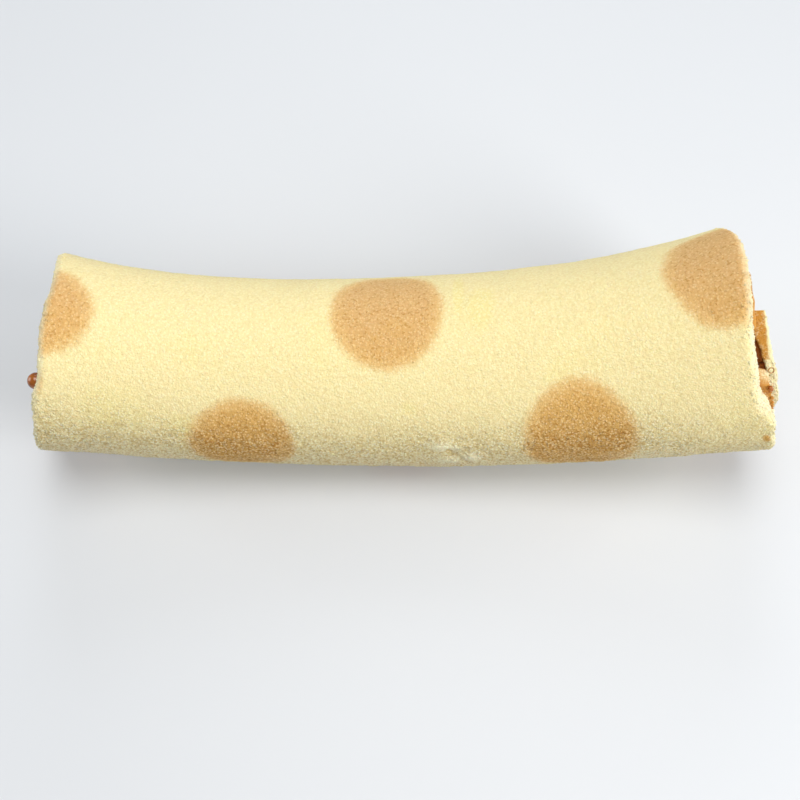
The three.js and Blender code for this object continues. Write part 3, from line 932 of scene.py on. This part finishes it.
def sheet_patches(roll):
    """The sponge sheet: its skin, the outer face of its further turns, its inner
    face, its two cuts, and its edges at the seam and at the tip."""
    work = Patchwork()
    first = np.linspace(0, 1, SKIN_STEPS + 1)
    further = np.linspace(1, roll.turns, int(COIL_STEPS * (roll.turns - 1)) + 1)
    closer = np.append(STEP_ANGLES, FRONT_ANGLES)
    further = np.union1d(further, 2 + (closer - SEAM_ANGLE) / FULL_TURN)
    every = np.concatenate([first, further[1:]])
    sparse = np.linspace(0, roll.turns, int(HIDDEN_STEPS * roll.turns) + 1)
    fine, coarse = stations(), hidden_stations()
    depths = np.linspace(0, 1, SHEET_STEPS + 1)

    # The skin.
    turns, fraction = np.meshgrid(first, fine, indexing="ij")
    skin = roll.skin(fraction, turns)
    worn = sum(wear * short for wear, short in zip(WORN, shortfall(roll, turns, fraction)))
    work.grid(
        skin, on_map((0, 0), MAP_SKIN, fraction, turns), turns=turns, cut=worn,
        distance=mix(*roll.sheet_ends(turns, roll.outer(turns)), fraction),
        soaked=0, wet=0, shown=1)

    # The outer face of the further turns, which shows where it stands proud.
    turns, fraction = np.meshgrid(further, coarse, indexing="ij")
    outer = roll.skin(fraction, turns)
    left, right = roll.sheet_ends(turns, roll.outer(turns))
    distance = mix(left, right, fraction)
    to_end = right - distance
    angle = roll.angle(turns) % FULL_TURN
    bare = bared(angle, to_end)
    crevice = to_end - np.interp(angle, CREVICE_ANGLES, CREVICE_FROM, left=1, right=1)
    values = {
        "turns": turns, "distance": distance, "cut": bare, "soaked": 1 - bare,
        "wet": np.where(turns < 2, ease(0.5 + crevice / CREVICE_EASE), 0),
        "shown": 0.5 * ease(1 - to_end / SHOWN_DEPTH)}
    work.grid(
        outer[1:], on_map(MAP_COIL, MAP_TURN, fraction, turns - 1)[1:],
        **{name: numbers[1:] for name, numbers in values.items()})
    work.strip(skin[-1], fine, outer[1], coarse, MAP_COIL, flip=True, turns=1, **HIDDEN)

    # The inner face.
    turns, fraction = np.meshgrid(sparse, coarse, indexing="ij")
    distance = mix(*roll.sheet_ends(turns, roll.inner(turns)), fraction)
    inner = roll.at(distance, roll.angle(turns), roll.lining(turns))
    kept = (slice(1, -1), slice(1, -1))
    work.grid(
        inner[kept], on_map(MAP_INNER, MAP_TURN, fraction, turns)[kept], flip=True,
        turns=turns[kept], **HIDDEN)

    # The cuts, soaked by how near the next layer of jam is.
    from_jam = np.where(every > 1, 0, 1)[:, None] + depths
    to_jam = np.where(every < roll.turns - 1, 0, 1)[:, None] + 1 - depths
    nearest = np.minimum(from_jam, to_jam) * roll.thickness(every)[:, None]
    radius = mix(roll.outer(every)[:, None], roll.inner(every)[:, None], depths)
    section = 0.5 + roll.in_section(radius, roll.angle(every)[:, None]) / SECTION_WIDTH
    for side in (0, 1):
        face = through(roll, every, side, 1)
        work.grid(
            face, MAP_CUTS[side] + MAP_CUT * section, flip=side == 0,
            distance=mix(-1, 1, side) * roll.half_length, turns=every[:, None], cut=1,
            soaked=1 - nearest / SOAK_DEPTH, wet=0, shown=1)
        work.strip(
            face[:, -1], every, inner[1:-1, -2 if side else 1], sparse[1:-1], MAP_INNER,
            flip=side == 0, turns=1.5, **HIDDEN)

    # The edges at the seam and at the tip.
    start = np.zeros_like(fine)
    rounded = sum(1 - np.sqrt(1 - short ** 2) for short in shortfall(roll, start, fine))
    seam = through(roll, start, fine, rounded)
    work.grid(
        seam, on_map(MAP_SEAM, MAP_SEAM_SIZE, fine[:, None], depths), distance=0, turns=0,
        cut=1, soaked=0, wet=0, shown=1)
    work.strip(seam[:, -1], fine, inner[1, 1:-1], coarse[1:-1], MAP_BANDS, turns=0, **HIDDEN)
    tip = through(roll, np.full_like(coarse, roll.turns), coarse, 0)
    work.grid(
        tip, on_map(MAP_TIP, MAP_TIP_SIZE, coarse[:, None], depths), flip=True,
        turns=roll.turns, **HIDDEN)
    work.strip(
        tip[:, -1], coarse, inner[-2, 1:-1], coarse[1:-1], MAP_BANDS, flip=True,
        turns=roll.turns, **HIDDEN)
    return work


def creased(distance, girth):
    """The crease, e^(-(d / width)^2) where d is how far a place is from its line, and
    the height of its lumps, height e^(-d^2) where d is the elliptic distance from a
    lump's middle."""
    place = np.stack([distance, girth], -1) / MM
    near = np.full(len(place), np.inf)
    for start, end in zip(np.array(CREASE[:-1]), np.array(CREASE[1:])):
        share = np.clip((place - start) @ (end - start) / ((end - start) @ (end - start)), 0, 1)
        near = np.minimum(near, np.linalg.norm(place - mix(start, end, share[:, None]), axis=1))
    lumps = 0 * near
    for at, girth_at, half_length, half_girth, height in LUMPS:
        off = (place - (at, girth_at)) / (half_length, half_girth)
        lumps += height * MM * np.exp(-(off ** 2).sum(1))
    return np.exp(-(near / CREASE_WIDTH) ** 2), lumps


def cut_relief(points):
    """A cut's torn crumb: lumps, and pits where a noise is low."""
    pits = ease(-0.35 - layered(points, PITS) / MM)
    return layered(points, *CUT_RELIEF) - PITS_DEPTH * pits


def patches_on(roll, patches, distance, turns):
    """How much of a patch lies on the skin, from 0 to 1: (1.5 - the elliptic distance
    from its middle), times its strength."""
    amount = np.zeros(len(distance))
    angle = roll.angle(turns)
    for at, degrees, half_along, half_around, strength in patches:
        along = (distance - at * MM) / (half_along * MM)
        off = (angle - math.radians(degrees) + math.pi) % FULL_TURN - math.pi
        around = off * roll.middle / (half_around * MM)
        amount = np.maximum(amount, strength * np.clip(1.5 - np.hypot(along, around), 0, 1))
    return amount


class ADD_OT_swiss_roll_sponge(bpy.types.Operator):
    """Add the rolled sponge sheet with its spots, crumb and cuts"""

    bl_idname = "mesh.swiss_roll_sponge"
    bl_label = "Sponge"

    def execute(self, context):
        roll, look = Roll(context.scene.swiss_roll_shape), context.scene.swiss_roll_look
        points, corners, places, values = sheet_patches(roll).welded()
        normals = normals_of(points, corners)
        cut, shown, wet = values["cut"], values["shown"], values["wet"]
        distance, turns = values["distance"], values["turns"]
        on_skin = (turns <= 1) & (cut < 0.99) & (shown > 0.99)
        crack, lumps = creased(distance, roll.girth(turns))
        torn = np.where((turns > 1) & (shown < 0.99), np.maximum(cut, 0.4), cut)
        relief = mix(layered(points, *SKIN_RELIEF), cut_relief(points), torn)
        down_the_sides = ease((1 - normals[:, 2] - FRAYED_FROM) / FRAYED_OVER)
        crags = down_the_sides * layered(points, *FRAYED_RELIEF)
        relief += on_skin * (lumps - CREASE_DEPTH * crack + crags)
        relief = relief * shown * look.relief - CREVICE_DEPTH * wet
        moved = points + normals * relief[:, None]
        moved[:, 2] = np.maximum(moved[:, 2], FRAME_LOW.z)
        # Less steep toward the right cut: smoother there, with less painted shade down the side.
        smoother_and_less_shaded = SMOOTHER_AND_LESS_SHADED * ease((distance - SMOOTHER_FROM) / SMOOTHER_OVER)
        attributes = {
            "spot": np.where(on_skin, roll.spot_depth(distance, turns, points), -5 * MM),
            # Jam stains, and one painted shadow on the right rim.
            "stain": on_skin * patches_on(roll, STAINS_AND_SHADOW, distance, turns),
            "deep": on_skin * patches_on(roll, YELLOWER, distance, turns),
            "steep": (1 - normals[:, 2]) * (1 - smoother_and_less_shaded), "lean": -normals[:, 1],
            "cut": cut, "jammy": values["soaked"], "wet": wet, "crack": on_skin * crack,
            # Painted highlight: the lumps beside the crease and low in front are painted lighter by
            # their height.
            "tone": on_skin * np.clip(lumps / MM, 0, 0.6)}
        make_piece(
            "sponge_roll", moved, corners, places, attributes, sponge_finish(look),
            "sponge", "sponge")
        return {"FINISHED"}


def read(items, name, width, kind):
    """A property of all items, as an array with a row of that width for each."""
    numbers = np.empty((len(items), width), kind)
    items.foreach_get(name, numbers.ravel())
    return numbers


def square_to(directions):
    """Two unit vectors that are square to each direction and to each other."""
    helper = np.where(np.abs(directions[..., 2:]) < 0.9, (0.0, 0.0, 1.0), (1.0, 0.0, 0.0))
    first = np.cross(helper, directions)
    first /= np.linalg.norm(first, axis=-1, keepdims=True)
    return first, np.cross(directions, first)


def scattered(piece, count, seed, weigh):
    """Random places on a piece: their points, normals and values. A triangle is taken
    with a likelihood of its area times what weigh makes of its middle and values."""
    mesh = piece.data
    mesh.calc_loop_triangles()
    points = read(mesh.vertices, "co", 3, np.float32).astype(float)
    triangles = read(mesh.loop_triangles, "vertices", 3, np.int32)
    values = {
        attribute.name: read(attribute.data, "value", 1, np.float32)[triangles, 0].astype(float)
        for attribute in mesh.attributes
        if attribute.data_type == "FLOAT" and attribute.domain == "POINT"}
    a, b, c = (points[triangles[:, k]] for k in range(3))
    across = np.cross(b - a, c - a)
    area = np.linalg.norm(across, axis=1)
    weight = area * weigh((a + b + c) / 3, {k: v.mean(1) for k, v in values.items()})
    rng = np.random.default_rng(seed)
    chosen = rng.choice(len(triangles), count, p=weight / weight.sum())
    u, v = rng.uniform(size=(2, count))
    u, v = np.where(u + v > 1, 1 - u, u), np.where(u + v > 1, 1 - v, v)
    share = np.stack([1 - u - v, u, v], -1)
    spots = sum(share[:, k, None] * p[chosen] for k, p in enumerate((a, b, c)))
    normals = across[chosen] / np.maximum(area[chosen, None], 1e-12)
    return spots, normals, {k: (share * v[chosen]).sum(1) for k, v in values.items()}, rng


OCTAHEDRON = (
    np.array([(0, 0, 1), (1, 0, 0), (0, 1, 0), (-1, 0, 0), (0, -1, 0), (0, 0, -1)], float),
    np.array([
        (0, 1, 2), (0, 2, 3), (0, 3, 4), (0, 4, 1), (5, 2, 1), (5, 3, 2), (5, 4, 3), (5, 1, 4)]),
)


def icosahedron():
    """The 12 corners and 20 faces of an icosahedron with a radius of 1: a pole, two
    rings of five at a height of 1 / sqrt(5) either way, and the other pole."""
    around = np.arange(5) * FULL_TURN / 5
    high, wide = 1 / math.sqrt(5), 2 / math.sqrt(5)
    upper = np.stack([wide * np.cos(around), wide * np.sin(around), np.full(5, high)], -1)
    turned = around + math.pi / 5
    lower = np.stack([wide * np.cos(turned), wide * np.sin(turned), np.full(5, -high)], -1)
    points = np.concatenate([[(0, 0, 1)], upper, lower, [(0, 0, -1)]])
    k = np.arange(5)
    up, up_next, down, down_next = 1 + k, 1 + (k + 1) % 5, 6 + k, 6 + (k + 1) % 5
    faces = np.concatenate([
        np.stack([0 * k, up, up_next], -1), np.stack([up, down, up_next], -1),
        np.stack([up_next, down, down_next], -1), np.stack([0 * k + 11, down_next, down], -1)])
    return points, faces


def strewn(body, spots, normals, sizes, rng, jitter):
    """Copies of a body at places, each with three sizes, the last one along the
    normal, a random turn about the normal, and corners moved at random. Returns the
    points, the faces and their places on a map, where each copy has its own cell."""
    corners, faces = body
    count = len(spots)
    first, second = square_to(normals)
    turn = rng.uniform(0, FULL_TURN, (count, 1))
    axes = np.stack([
        first * np.cos(turn) + second * np.sin(turn),
        second * np.cos(turn) - first * np.sin(turn), normals], 1)
    moved = corners * (1 + rng.uniform(-jitter, jitter, (count, len(corners), 1)))
    points = spots[:, None] + (moved * sizes[:, None]) @ axes
    every = faces + len(corners) * np.arange(count)[:, None, None]
    every = np.concatenate([every, np.full((count, len(faces), 1), -1)], -1).reshape(-1, 4)
    side = math.ceil(math.sqrt(count))
    cell = np.stack([np.arange(count) % side, np.arange(count) // side], -1)
    places = (cell[:, None] + 0.5 + 0.4 * corners[:, :2]) / side
    return points.reshape(-1, 3), every, places.reshape(-1, 2)[every]


def strew(name, body, count, seed, weigh, draw_sizes, sunk, jitter, darkest):
    """A piece of copies of a body on the sponge: where weigh says, as large as
    draw_sizes draws them in millimetres, sunk in by that share of their height, with
    corners moved by up to jitter and a tone from darkest to 1."""
    sponge = bpy.data.objects["sponge_roll"]
    spots, normals, values, rng = scattered(sponge, count, seed, weigh)
    sizes = draw_sizes(rng) * MM
    spots = spots - normals * sizes[:, 2:] * sunk
    points, faces, places = strewn(body, spots, normals, sizes, rng, jitter)
    values["tone"] = rng.uniform(darkest, 1, count)
    points[:, 2] = np.maximum(points[:, 2], FRAME_LOW.z)
    values = {key: np.repeat(numbers, len(body[0])) for key, numbers in values.items()}
    make_piece(name, points, faces, places, values, sponge.data.materials[0], "sponge")


class ADD_OT_swiss_roll_grain(bpy.types.Operator):
    """Add grains of crumb that stand out of the skin of the sponge"""

    bl_idname = "mesh.swiss_roll_grain"
    bl_label = "Grain"

    def execute(self, context):
        count = context.scene.swiss_roll_look.grains

        def weigh(middle, values):
            """The skin, the more the steeper it is."""
            shown = (values["jammy"] < 0.5) & (values["cut"] < 0.9) & (middle[:, 2] > 0.4 * MM)
            return shown * ease((values["steep"] - 0.4) / 0.5)

        def draw_sizes(rng):
            return rng.uniform((0.16, 0.16, 0.14), (0.48, 0.38, 0.32), (count, 3))

        strew("skin_grain", OCTAHEDRON, count, 31, weigh, draw_sizes, 0.40, 0.15, 0)
        return {"FINISHED"}


class ADD_OT_swiss_roll_crumbs(bpy.types.Operator):
    """Add crumbs that cling to the cuts and their rims"""

    bl_idname = "mesh.swiss_roll_crumbs"
    bl_label = "Crumbs"

    def execute(self, context):
        roll, count = Roll(context.scene.swiss_roll_shape), 2 * context.scene.swiss_roll_look.crumbs

        def weigh(middle, values):
            """The cuts, and several times as much along the torn rims in front."""
            along = middle[:, 0] / roll.half_length
            height = middle[:, 2] - roll.axis_height - roll.hang(along)[0]
            angle = np.arctan2(height, middle[:, 1]) % FULL_TURN
            torn = np.interp(angle, TORN_ANGLES, TORN_LEFT + TORN_SECOND).clip(0) / MM
            rim = torn * (np.hypot(height, middle[:, 1]) > 0.7 * roll.middle)
            return (values["cut"] > 0.1) * (middle[:, 2] > 0.5 * MM) * (1 + 4 * rim)

        def draw_sizes(rng):
            return rng.uniform(0.18, 0.5, (count, 1)) * rng.uniform(0.7, 1.2, (count, 3))

        strew("cut_crumbs", icosahedron(), count, 41, weigh, draw_sizes, 0.2, 0.3, -1)
        return {"FINISHED"}


# Steps of the jam's mesh: for a turn, from cut to cut, and round its edges at the cuts.
JAM_STEPS = 190
JAM_STATIONS = 34
JAM_ROUND = 6
JAM_START = 1 / 36

# How far the inner turns of jam stand out of the right cut.
JAM_STANDS = 0.3 * MM

# Where the jam's patches lie on its map, as corners and sizes: the two faces, the edges
# at the two cuts, and its ends, corners and drops in small places of their own.
JAM_FACES, JAM_FACE = ((0, 0), (0.32, 0)), (0.3, 0.98)
JAM_EDGES, JAM_EDGE = ((0.66, 0), (0.82, 0)), (0.14, 0.98)
JAM_ENDS, JAM_CORNERS, JAM_SMALL = (0.97, 0.94), (0.97, 0.97), (0.02, 0.02)
JAM_DROPS = (0.985, 0.985)


def jam_patches(roll):
    """The jam layer: its outer and inner faces, uneven edges at both cuts, and its two
    ends. An edge stands out by its bulge times the sine of an angle that goes from 0
    to half a circle through the layer."""
    work = Patchwork()
    turns = np.linspace(JAM_START, roll.turns - 1, int(JAM_STEPS * (roll.turns - 1)) + 1)
    fractions = np.linspace(0, 1, JAM_STATIONS)
    outside = roll.inner(turns) - CLEARANCE
    angle = roll.angle(turns)
    around = np.stack([np.cos(angle), np.sin(angle), 0 * angle], -1) * outside[:, None]
    plain = {"soaked": 0, "bare": 0}

    def at_cut(numbers, elsewhere):
        """One of the tables round the right cut, and a value for the inner turns."""
        return np.where(turns < 1, np.interp(angle % FULL_TURN, JAM_ANGLES, numbers), elsewhere)

    left, right = roll.ends(turns, outside - roll.jam / 2, 0)
    out = at_cut(JAM_OUT, JAM_STANDS)
    right = right + out
    edge_values = {"soaked": at_cut(JAM_SOAKED, 0)[:, None], "bare": at_cut(JAM_BARE, 0)[:, None]}

    def layer(fraction, depth, beyond=0.0):
        """Points of the layer, a depth of 0 to 1 in from its outer face."""
        distance = mix(left[:, None], right[:, None], fraction) + beyond
        radius = outside[:, None] - depth * roll.jam
        angles = np.broadcast_to(angle[:, None], distance.shape)
        return roll.at(distance, angles, np.broadcast_to(radius, distance.shape))

    def add(points, corner, size, flip, values):
        """A patch that fills its place on the map."""
        up, along = (np.linspace(0, 1, count) for count in points.shape[:2])
        work.grid(points, on_map(corner, size, along, up[:, None]), flip=flip, **values)

    through = np.linspace(0, math.pi, JAM_ROUND + 1)
    for side, seed in ((-1, 21), (1, 22)):
        swell = 0.4 * noise(around, 4.5 * MM, seed) + 0.25 * noise(around, 1.7 * MM, seed + 5)
        swell = np.maximum(0.1, 0.4 + swell) * np.where(side * out < 0, 0.3, 1)
        bulge = swell[:, None] * MM * np.sin(through)
        edge = layer((side + 1) / 2, (1 - np.cos(through)) / 2, side * bulge)
        add(edge, JAM_EDGES[side > 0], JAM_EDGE, side < 0, edge_values if side > 0 else plain)
        for row, turned in ((0, side > 0), (-1, side < 0)):
            half = edge[row]
            middle = (half[0] + half[-1]) / 2
            fan = np.stack([half, np.broadcast_to(middle, half.shape)], 0)
            add(fan, JAM_CORNERS, JAM_SMALL, turned, plain)
    for depth in (0, 1):
        add(layer(fractions, depth), JAM_FACES[depth], JAM_FACE, depth == 1, plain)
    for row, turned in ((0, True), (-1, False)):
        top, bottom = layer(fractions, 0)[row], layer(fractions, 1)[row]
        middle = (top + bottom) / 2
        for near, far in ((top, middle), (middle, bottom)):
            add(np.stack([near, far], 0), JAM_ENDS, JAM_SMALL, turned, plain)
    return work


# The drop on the left cut: its angle, the radius of its ball, how far it reaches out
# and how far inside the cut it starts, and its steps.
DROP_ANGLE = math.radians(135)
DROP_RADIUS = 2.3 * MM
DROP_REACH = 3.05 * MM
DROP_START = 0.6 * MM
DROP_SIDES, DROP_STEPS = 32, 21

# Small things on the right cut: the angle, how far in from the skin, how far out of
# the cut, the radius, the radius of the ring's section or 0 for a blob, and how much
# it is soaked and bare crumb. Then their steps, how flat a blob is, and the ring's axis.
BITS = (
    (135.5, 8.9, 2.2, 0.70, 0.17, 0.45, 0.35),
    (149.5, 8.6, 1.3, 0.85, 0.0, 0.15, 0.0),
    (153.0, 8.9, 1.2, 0.50, 0.0, 0.6, 0.0),
    (159.5, 8.8, 1.3, 0.55, 0.0, 0.6, 0.2),
    (166.0, 9.0, 1.2, 0.50, 0.0, 0.7, 0.2),
    (171.0, 9.0, 1.1, 0.50, 0.0, 0.6, 0.2),
    (176.0, 8.8, 1.1, 0.45, 0.0, 0.7, 0.2),
    (151.0, 1.0, 0.5, 0.50, 0.0, 0.0, 1.0),
)
BIT_SIDES, BIT_STEPS = 20, 13
BLOB_FLATNESS = 0.8
RING_TILT = math.radians(40)
RING_AXIS = np.array((0, -math.sin(RING_TILT), math.cos(RING_TILT)))


def out_of_cut(roll, turns, radius, right):
    """A point of a cut and the unit direction that leads squarely out of it."""
    def on_cut(turns_on, further):
        at = np.array([turns + turns_on])
        distance = roll.ends(at, radius + further, 0)[right]
        return roll.at(distance, roll.angle(at), np.array([radius + further]))[0]

    seat = on_cut(0, 0)
    out = np.cross(on_cut(0, MM) - seat, on_cut(1 / 72, 0) - seat) * (1 if right else -1)
    return seat, out / np.linalg.norm(out)


def turned_about(out, profile, sides):
    """A closed surface of revolution: the radius and the height of each point of the
    profile, from pole to pole, about an axis through 0 that points out."""
    first, second = square_to(out)
    around = np.linspace(0, FULL_TURN, sides + 1)
    around[-1] = 0
    ring = np.cos(around)[:, None] * first + np.sin(around)[:, None] * second
    return ring[:, None] * profile[:, :1] + profile[:, 1:] * out


def add_drops(work, roll):
    """The drop on the left cut, and the ring and the blobs on the right one."""
    turns = (DROP_ANGLE - SEAM_ANGLE) / FULL_TURN + 1
    radius = roll.inner(np.array([turns]))[0] - roll.jam_space / 2
    seat, out = out_of_cut(roll, turns, radius, 0)
    waist = DROP_REACH - DROP_RADIUS
    arc = np.linspace(math.asin((DROP_START - waist) / DROP_RADIUS), math.pi / 2, DROP_STEPS)
    ball = np.stack([DROP_RADIUS * np.cos(arc), waist + DROP_RADIUS * np.sin(arc)], -1)
    ball[-1, 0] = 0
    profile = np.concatenate([[(0, -DROP_START)], [(ball[0, 0], -DROP_START)], ball])
    work.grid(
        seat + turned_about(out, profile, DROP_SIDES), np.array(JAM_DROPS), soaked=0, bare=0)
    for degrees, inwards, out_by, size, ring, soaked, bare in BITS:
        turns = (math.radians(degrees) - SEAM_ANGLE) / FULL_TURN + 1
        radius = roll.outer(np.array([turns]))[0] - inwards * MM
        seat, out = out_of_cut(roll, turns, radius, 1)
        angle = np.linspace(0, FULL_TURN if ring else math.pi, BIT_STEPS)
        if ring:
            angle[-1] = 0
            profile = np.stack([size + ring * np.sin(angle), -ring * np.cos(angle)], -1) * MM
        else:
            profile = size * MM * np.stack([np.sin(angle), -BLOB_FLATNESS * np.cos(angle)], -1)
            profile[(0, -1), 0] = 0
        surface = turned_about(RING_AXIS if ring else out, profile, BIT_SIDES)
        work.grid(
            seat + out * out_by * MM + surface, np.array(JAM_DROPS), soaked=soaked, bare=bare)


class ADD_OT_swiss_roll_jam(bpy.types.Operator):
    """Add the jam layer with its drops at the cuts"""

    bl_idname = "mesh.swiss_roll_jam"
    bl_label = "Jam"

    def execute(self, context):
        roll, look = Roll(context.scene.swiss_roll_shape), context.scene.swiss_roll_look
        work = jam_patches(roll)
        add_drops(work, roll)
        points, corners, places, values = work.welded()
        make_piece(
            "jam_filling", points, corners, places, values, jam_finish(look), "filling",
            "filling")
        return {"FINISHED"}


# The lamps: the name, the place in metres, the property that holds the power, and the
# colour. They are discs that face a point over the floor.
LAMPS = (
    ("lamp overhead", (0.0, 0.0, 0.80), "lamp_power", (1, 1, 1)),
    ("lamp at the right", (0.52, -0.42, 0.47), "side_power", (1, 1, 1)),
    ("lamp at the back", (0.0, 0.66, 0.46), "back_power", (0.92, 0.96, 1)),
    ("lamp off the left end", (-0.72, 0.05, 0.30), "left_power", (0.95, 0.98, 1)),
    ("lamp off the right end", (0.72, 0.05, 0.30), "right_power", (0.95, 0.98, 1)),
)
LAMP_SIZE = 0.45
LAMP_AIM = 0.03
SOFT_LIGHT = (0.82, 0.91, 1.0, 1)
FLOOR_REACH = 3.0

CAMERA_PLACE = (7.85 * MM, -124.4 * MM, 257.24 * MM)
CAMERA_TURN = (math.radians(25.93), math.radians(1.52), math.radians(-0.04))
CAMERA_LENS = 40.70


class ADD_OT_swiss_roll_stage(bpy.types.Operator):
    """Add the floor, the lights and the camera"""

    bl_idname = "scene.swiss_roll_stage"
    bl_label = "Stage"

    def execute(self, context):
        scene, stage = context.scene, context.scene.swiss_roll_stage
        mesh = bpy.data.meshes.new("floor")
        corners = ((-1, -1), (1, -1), (1, 1), (-1, 1))
        mesh.from_pydata(
            [(x * FLOOR_REACH, y * FLOOR_REACH, 0) for x, y in corners], [], [(0, 1, 2, 3)])
        floor = bpy.data.objects.new("floor", mesh)
        f = Finish("pale floor")
        f.set(Base_Color=tuple(stage.floor), Roughness=0.6, Specular_IOR_Level=0.3)
        mesh.materials.append(f.material)
        scene.collection.objects.link(floor)

        for name, place, watts, tint in LAMPS:
            light = bpy.data.lights.new(name, "AREA")
            light.shape = "DISK"
            light.size = LAMP_SIZE
            light.energy = getattr(stage, watts)
            light.color = tint
            lamp = bpy.data.objects.new(name, light)
            lamp.location = place
            aim = -lamp.location
            aim.z += LAMP_AIM
            lamp.rotation_euler = aim.to_track_quat("-Z", "Y").to_euler()
            scene.collection.objects.link(lamp)

        world = bpy.data.worlds.new("soft light")
        world.use_nodes = True
        background = world.node_tree.nodes["Background"]
        background.inputs["Color"].default_value = SOFT_LIGHT
        background.inputs["Strength"].default_value = stage.ambient
        scene.world = world

        camera = bpy.data.cameras.new("camera")
        camera.sensor_width = 36
        camera.lens = CAMERA_LENS
        camera.clip_start = 10 * MM
        seer = bpy.data.objects.new("camera", camera)
        seer.location = CAMERA_PLACE
        seer.rotation_euler = CAMERA_TURN
        scene.collection.objects.link(seer)
        scene.camera = seer
        scene.view_settings.view_transform = "Standard"
        return {"FINISHED"}


OPERATORS = (
    ADD_OT_swiss_roll_sponge,
    ADD_OT_swiss_roll_grain,
    ADD_OT_swiss_roll_crumbs,
    ADD_OT_swiss_roll_jam,
    ADD_OT_swiss_roll_stage,
)


class VIEW3D_PT_swiss_roll(bpy.types.Panel):
    """The sidebar's list of the roll's pieces and settings"""

    bl_label = "Swiss Roll"
    bl_space_type = "VIEW_3D"
    bl_region_type = "UI"
    bl_category = "Swiss Roll"

    def draw(self, context):
        scene = context.scene
        for operator in OPERATORS:
            self.layout.operator(operator.bl_idname)
        for group in (scene.swiss_roll_shape, scene.swiss_roll_look, scene.swiss_roll_stage):
            column = self.layout.column()
            for name in group.__annotations__:
                column.prop(group, name)


GROUPS = {"swiss_roll_shape": RollShape, "swiss_roll_look": RollLook, "swiss_roll_stage": RollStage}


def register():
    for kind in (*GROUPS.values(), *OPERATORS, VIEW3D_PT_swiss_roll):
        bpy.utils.register_class(kind)
    for name, group in GROUPS.items():
        setattr(bpy.types.Scene, name, bpy.props.PointerProperty(type=group))


def unregister():
    for name in GROUPS:
        delattr(bpy.types.Scene, name)
    for kind in (VIEW3D_PT_swiss_roll, *reversed(OPERATORS), *GROUPS.values()):
        bpy.utils.unregister_class(kind)


def main():
    register()
    bpy.ops.mesh.swiss_roll_sponge()
    bpy.ops.mesh.swiss_roll_grain()
    bpy.ops.mesh.swiss_roll_crumbs()
    bpy.ops.mesh.swiss_roll_jam()
    bpy.ops.scene.swiss_roll_stage()


if __name__ == "__main__":
    main()
